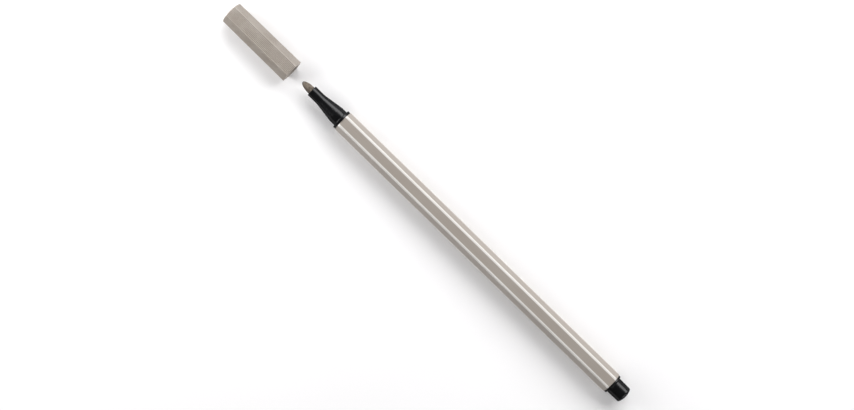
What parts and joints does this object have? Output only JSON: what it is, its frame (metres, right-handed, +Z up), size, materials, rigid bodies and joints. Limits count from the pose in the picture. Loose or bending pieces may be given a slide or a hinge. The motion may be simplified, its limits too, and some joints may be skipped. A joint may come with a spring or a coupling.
{
  "type": "felt-tip pen",
  "caption": "Hexagonal felt-tip pen lying on its side, with a black nib holder and end plug, white corner stripes and a grooved cap pulled off in line.",
  "frame": {"origin": "on the surface the pen lies on, under the middle of the whole length of pen and pulled-off cap", "axes": "+X along the pen from the cap to the end plug, +Y across it, +Z up from the surface"},
  "size_m": [0.1892, 0.0086, 0.0076],
  "materials": {
    "barrel_plastic": "satin warm grey",
    "cap_plastic": "satin warm grey, fine grooves",
    "white_plastic": "satin white",
    "black_plastic": "satin black",
    "nib_fibre": "bonded fibre, ink stained",
    "reservoir_fibre": "ink soaked fibre bundle",
    "wrap_film": "clear film"
  },
  "bodies": {
    "pen": {"barrel": "barrel_plastic", "edge_stripe_1": "white_plastic", "edge_stripe_2": "white_plastic", "edge_stripe_3": "white_plastic", "edge_stripe_4": "white_plastic", "edge_stripe_5": "white_plastic", "edge_stripe_6": "white_plastic", "front_section": "black_plastic", "nib": "nib_fibre", "ink_reservoir": "reservoir_fibre", "reservoir_wrap": "wrap_film", "end_plug": "black_plastic"},
    "cap": {"cap": "cap_plastic"}
  },
  "joints": [
    {"name": "cap_slide", "type": "slide", "parent": "pen", "child": "cap", "axis": [1, 0, 0], "range_m": [0, 0.02312]}
  ]
}
